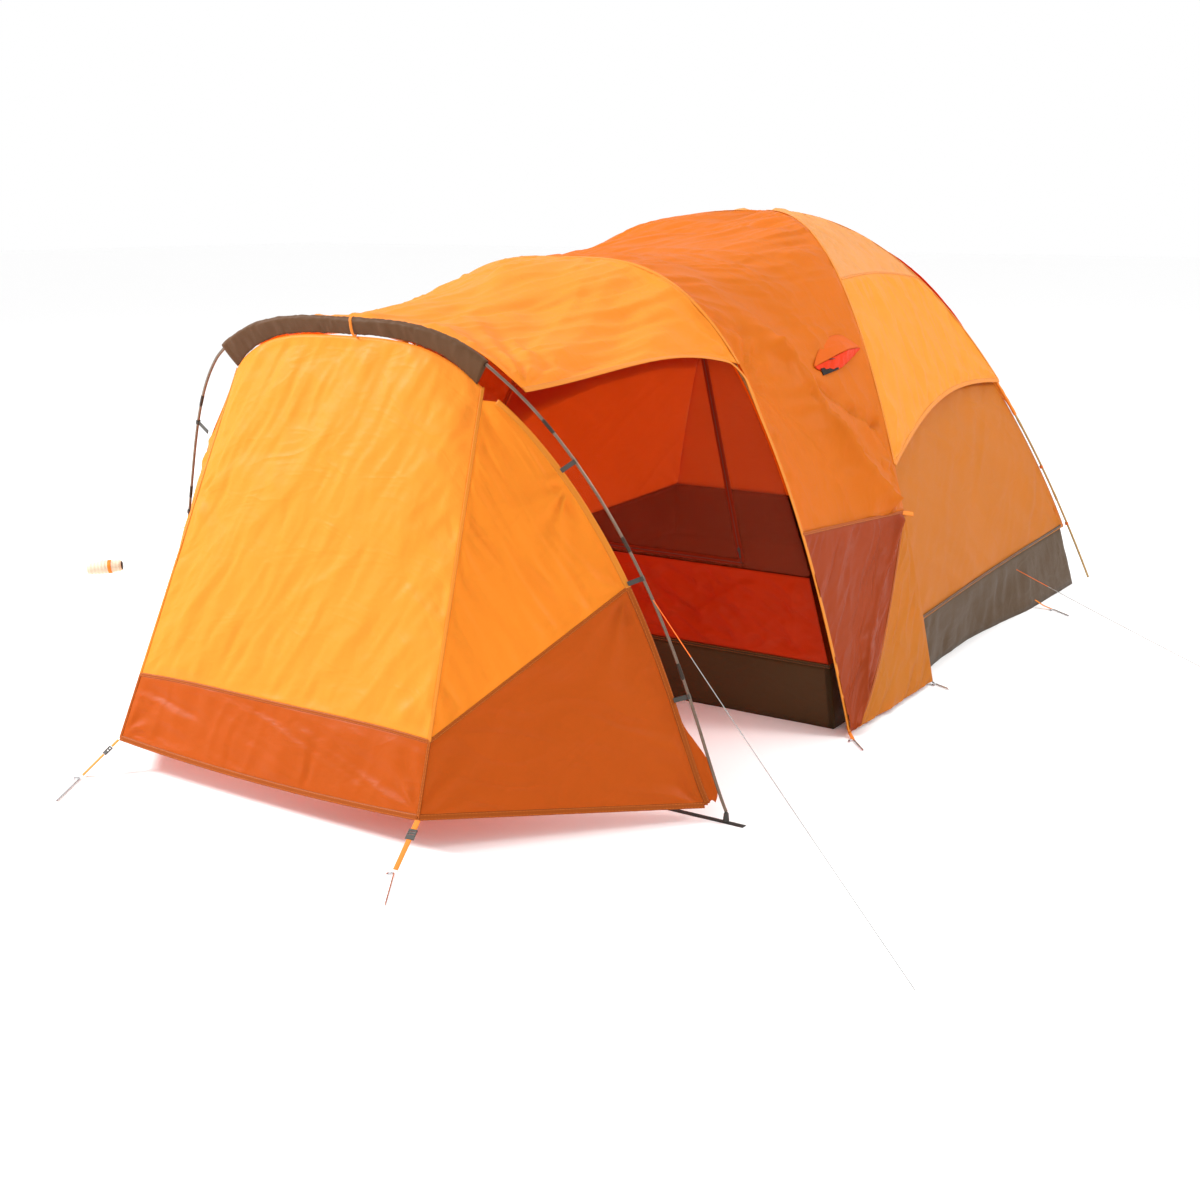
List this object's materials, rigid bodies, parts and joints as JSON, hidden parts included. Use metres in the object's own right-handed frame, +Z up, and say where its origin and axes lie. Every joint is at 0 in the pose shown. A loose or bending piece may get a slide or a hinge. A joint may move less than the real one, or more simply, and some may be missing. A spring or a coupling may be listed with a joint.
{
  "type": "dome tent",
  "caption": "Family dome tent on crossed poles, with a hoop-pole front vestibule, side doorway, mesh cabin door, bathtub floor, vents, pegs and guy lines.",
  "frame": {"origin": "centre of the cabin floor's underside, on the ground", "axes": "+Z up, +Y towards the rear of the tent, +X towards the open side doorway"},
  "size_m": [5.6174, 5.2265, 1.9643],
  "materials": {
    "panel_light": "satin",
    "panel_mid": "satin",
    "panel_dark": "satin",
    "burnt": "satin",
    "tan": "satin",
    "brown": "satin",
    "mesh": "satin",
    "red": "satin",
    "pole": "satin",
    "plastic": "satin",
    "webbing": "satin",
    "steel": "satin",
    "cord": "satin",
    "cream": "satin"
  },
  "bodies": {
    "tent": {"bathtub_floor": "brown", "brow_pole": "pole", "cabin_front_panel": "red", "cabin_front_wall": "mesh", "cabin_wall_left": "tan", "cabin_wall_rear": "tan", "cabin_wall_right": "tan", "corner_clip_1": "plastic", "corner_clip_2": "plastic", "corner_flap_left": "tan", "corner_flap_right": "tan", "corner_fly_left": "burnt", "corner_fly_right": "burnt", "corner_strap_left": "webbing", "corner_strap_right": "webbing", "corner_tab_left": "webbing", "corner_tab_right": "webbing", "dome_fly_front": "panel_dark", "dome_fly_rear": "panel_light", "dome_fly_side_left": "panel_light", "dome_fly_side_right": "panel_light", "dome_pole_a": "pole", "dome_pole_b": "pole", "ground_strap": "plastic", "guy_line_front_left": "cord", "guy_line_front_right": "cord", "guy_line_pouch": "cream", "guy_line_side_right": "cord", "hoop_clip_left_1": "plastic", "hoop_clip_left_2": "plastic", "hoop_clip_left_3": "plastic", "hoop_clip_right_1": "plastic", "hoop_clip_right_2": "plastic", "hoop_clip_right_3": "plastic", "hoop_foot_left": "plastic", "hoop_foot_right": "plastic", "hoop_pole": "pole", "hoop_sleeve": "brown", "vestibule_door_left": "panel_mid", "vestibule_front": "panel_light", "vestibule_front_band": "burnt", "vestibule_roof": "panel_mid", "vestibule_side_band_left": "burnt", "vestibule_side_band_right": "burnt", "vestibule_side_left": "panel_mid", "vestibule_side_right": "panel_mid"},
    "cabin_door": {"cabin_door": "mesh"},
    "zip_slider": {"door_zip_slider": "plastic"},
    "vent_hood": {"vent_hood": "red"},
    "vent_prop": {"vent_strut": "plastic"},
    "rear_vent_flap": {"rear_vent_flap": "red"},
    "buckle_right": {"ladder_lock_right": "plastic"},
    "buckle_left": {"ladder_lock_left": "plastic"},
    "front_peg_right": {"front_peg_right": "steel"},
    "front_peg_left": {"front_peg_left": "steel"},
    "corner_peg": {"corner_peg_right": "steel"},
    "floor_peg_front": {"floor_peg_front_right": "steel"},
    "floor_peg_side": {"floor_peg_side_right": "steel"}
  },
  "joints": [
    {"name": "cabin_door_swing", "type": "hinge", "parent": "tent", "child": "cabin_door", "pos_m": [-0.83, -1.503, 0.615], "axis": [0.2297, 0, 0.9733], "range_deg": [0, 90]},
    {"name": "door_zip_slide", "type": "slide", "parent": "tent", "child": "zip_slider", "axis": [-0.2297, 0, 0.9733], "range_m": [0, 0.7]},
    {"name": "vent_hood_close", "type": "hinge", "parent": "tent", "child": "vent_hood", "pos_m": [0.78579, -0.98821, 1.46071], "axis": [0.0187, 0.9907, 0.1344], "range_deg": [-12, 0]},
    {"name": "vent_prop_fold", "type": "hinge", "parent": "tent", "child": "vent_prop", "pos_m": [0.86302, -0.86031, 1.36611], "axis": [0.0187, 0.9907, 0.1344], "range_deg": [0, 48]},
    {"name": "rear_vent_lift", "type": "hinge", "parent": "tent", "child": "rear_vent_flap", "pos_m": [0.1522, 0.6487, 1.75363], "axis": [0.5073, 0.5168, -0.6897], "range_deg": [-25, 0]},
    {"name": "buckle_tilt_right", "type": "hinge", "parent": "tent", "child": "buckle_right", "pos_m": [0.70628, -3.3797, 0.09327], "axis": [-0.9823, -0.1871, 0], "range_deg": [-28, 28]},
    {"name": "buckle_tilt_left", "type": "hinge", "parent": "tent", "child": "buckle_left", "pos_m": [-0.7114, -3.37751, 0.09241], "axis": [-0.926, 0.3775, 0], "range_deg": [-28, 28]},
    {"name": "front_peg_right_swing", "type": "hinge", "parent": "tent", "child": "front_peg_right", "pos_m": [0.73577, -3.50891, 0.0036], "axis": [0, 0, 1], "range_deg": [-25, 25]},
    {"name": "front_peg_left_swing", "type": "hinge", "parent": "tent", "child": "front_peg_left", "pos_m": [-0.74778, -3.49226, 0.0036], "axis": [0, 0, 1], "range_deg": [-25, 25]},
    {"name": "corner_peg_right_swing", "type": "hinge", "parent": "tent", "child": "corner_peg", "pos_m": [1.375, -1.585, 0.0036], "axis": [0, 0, 1], "range_deg": [-25, 25]},
    {"name": "floor_peg_front_right_swing", "type": "hinge", "parent": "tent", "child": "floor_peg_front", "pos_m": [1.352, -0.716, 0.0036], "axis": [0, 0, 1], "range_deg": [-25, 25]},
    {"name": "floor_peg_side_right_swing", "type": "hinge", "parent": "tent", "child": "floor_peg_side", "pos_m": [1.351, 0.835, 0.0036], "axis": [0, 0, 1], "range_deg": [-25, 25]}
  ],
  "couplings": [
    {"joint": "vent_prop_fold", "follows": "vent_hood_close", "ratio": -4}
  ]
}
